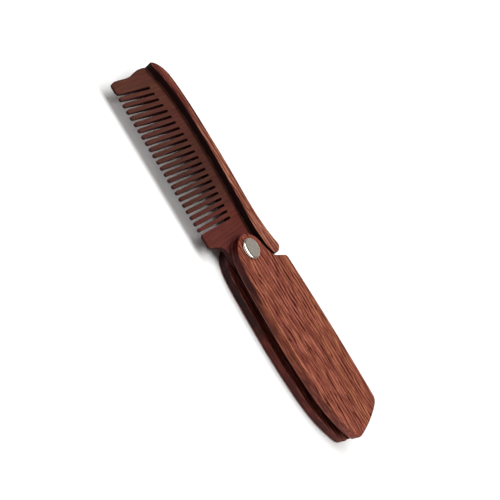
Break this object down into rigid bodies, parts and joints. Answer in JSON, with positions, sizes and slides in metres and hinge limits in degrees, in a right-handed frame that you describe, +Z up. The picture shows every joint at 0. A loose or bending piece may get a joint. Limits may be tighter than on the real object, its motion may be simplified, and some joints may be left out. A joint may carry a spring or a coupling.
{
  "type": "folding comb",
  "caption": "Wooden folding beard comb: a toothed blade with thick spine strips swings on one rivet out of a slotted two-scale handle.",
  "frame": {"origin": "where the pivot axis meets the resting face", "axes": "+X along the handle, -X along the open comb, teeth towards -Y, +Z up through the layers towards the domed cap"},
  "size_m": [0.198, 0.0398, 0.0161],
  "materials": {
    "scale_wood": "satin oiled red-brown hardwood",
    "strip_wood": "satin oiled red-brown hardwood",
    "dark_wood": "smooth oiled dark hardwood",
    "rivet_chrome": "polished",
    "rivet_steel": "plain"
  },
  "bodies": {
    "handle": {"front_scale": "scale_wood", "rear_scale": "scale_wood", "handle_spacer": "dark_wood", "front_rivet_cap": "rivet_chrome", "front_rivet_socket": "rivet_steel", "rear_rivet_post": "rivet_steel", "rear_rivet_cap": "rivet_chrome", "front_washer": "rivet_steel", "rear_washer": "rivet_steel"},
    "comb": {"comb_blade": "dark_wood", "front_spine_strip": "strip_wood", "rear_spine_strip": "strip_wood"}
  },
  "joints": [
    {"name": "comb_fold", "type": "hinge", "parent": "handle", "child": "comb", "pos_m": [0, 0, 0.0071], "axis": [0, 0, 1], "range_deg": [0, 181.7]}
  ]
}
